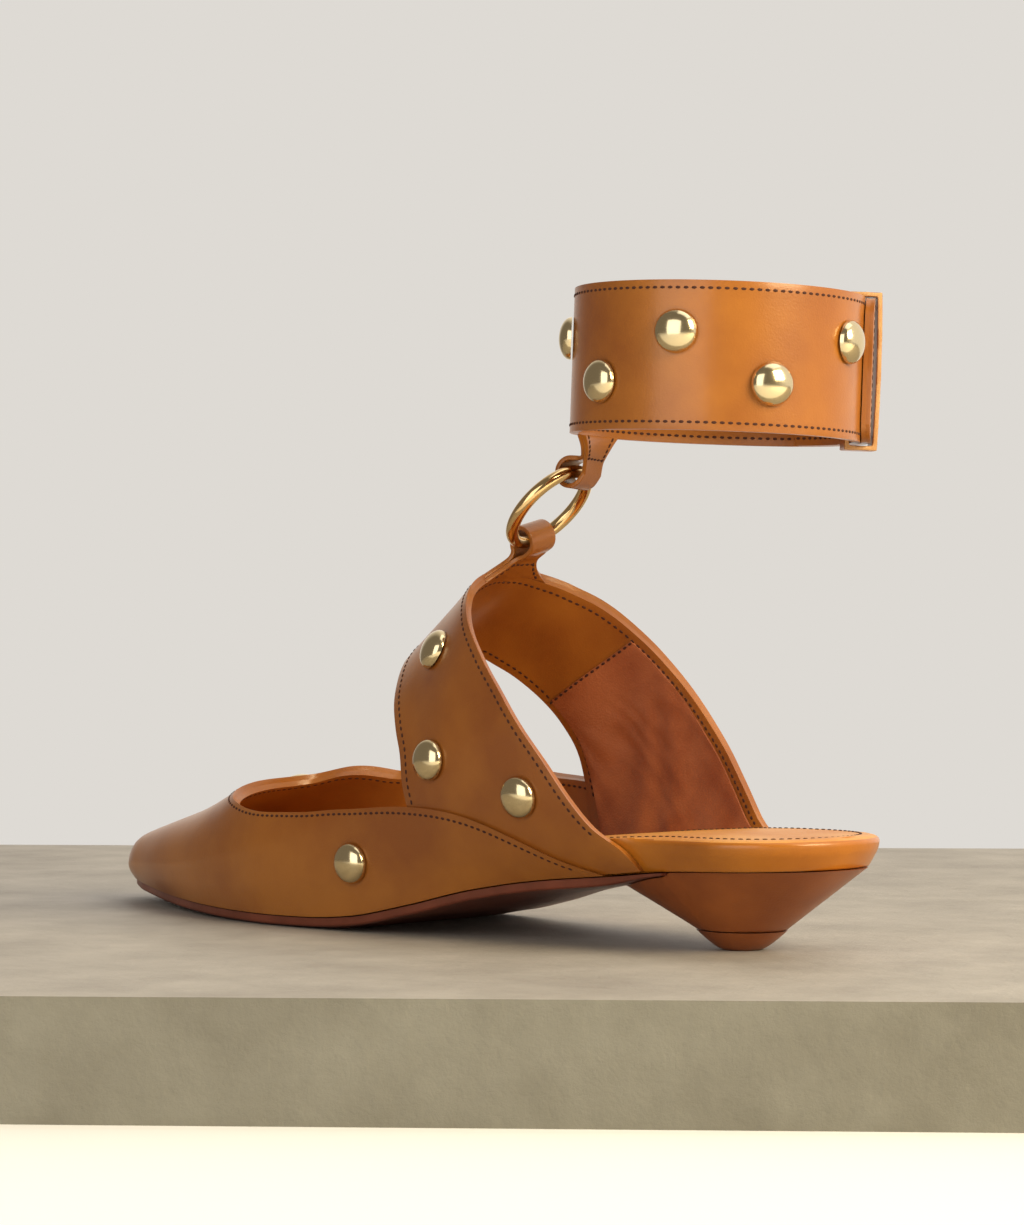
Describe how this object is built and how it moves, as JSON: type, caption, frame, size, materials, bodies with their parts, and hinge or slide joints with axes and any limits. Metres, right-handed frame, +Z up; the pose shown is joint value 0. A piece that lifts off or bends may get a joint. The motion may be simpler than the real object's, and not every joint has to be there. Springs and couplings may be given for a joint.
{
  "type": "kitten heel mule with ankle cuff",
  "caption": "Pointed leather mule on a low cone heel, with a wide studded instep band linked by a metal ring to a wide ankle cuff.",
  "frame": {"origin": "centre of the bounding box on the floor", "axes": "+Z up, toe towards -Y, the outer (lateral) side of this left shoe towards +X"},
  "size_m": [0.082, 0.2666, 0.165],
  "materials": {
    "calf": "smooth glossy tan calf",
    "footbed_leather": "satin light tan leather over a cushioned board",
    "heel_leather": "satin red-brown leather wrap",
    "sole_leather": "dyed satin sole leather",
    "brass": "polished pale gold plate"
  },
  "bodies": {
    "shoe": {"upper": "calf", "outsole": "sole_leather", "footbed": "footbed_leather", "heel": "heel_leather", "top_lift": "heel_leather", "instep_tab": "calf", "cuff_tab": "calf", "ankle_cuff": "calf", "keeper": "calf", "band_stud_outer_front": "brass", "band_stud_outer_low_front": "brass", "band_stud_outer_low_back": "brass", "band_stud_inner_front": "brass", "band_stud_inner_low_front": "brass", "band_stud_inner_low_back": "brass", "vamp_stud_outer": "brass", "vamp_stud_inner": "brass", "vamp_stud_front": "brass", "cuff_stud_1": "brass", "cuff_stud_2": "brass", "cuff_stud_3": "brass", "cuff_stud_4": "brass", "cuff_stud_5": "brass", "cuff_stud_6": "brass", "cuff_stud_7": "brass"},
    "ring": {"o_ring": "brass"}
  },
  "joints": [
    {"name": "ring_turn", "type": "hinge", "parent": "shoe", "child": "ring", "pos_m": [0.00254, 0.03465, 0.1112], "axis": [0.1369, -0.7206, 0.6797], "continuous": true}
  ]
}
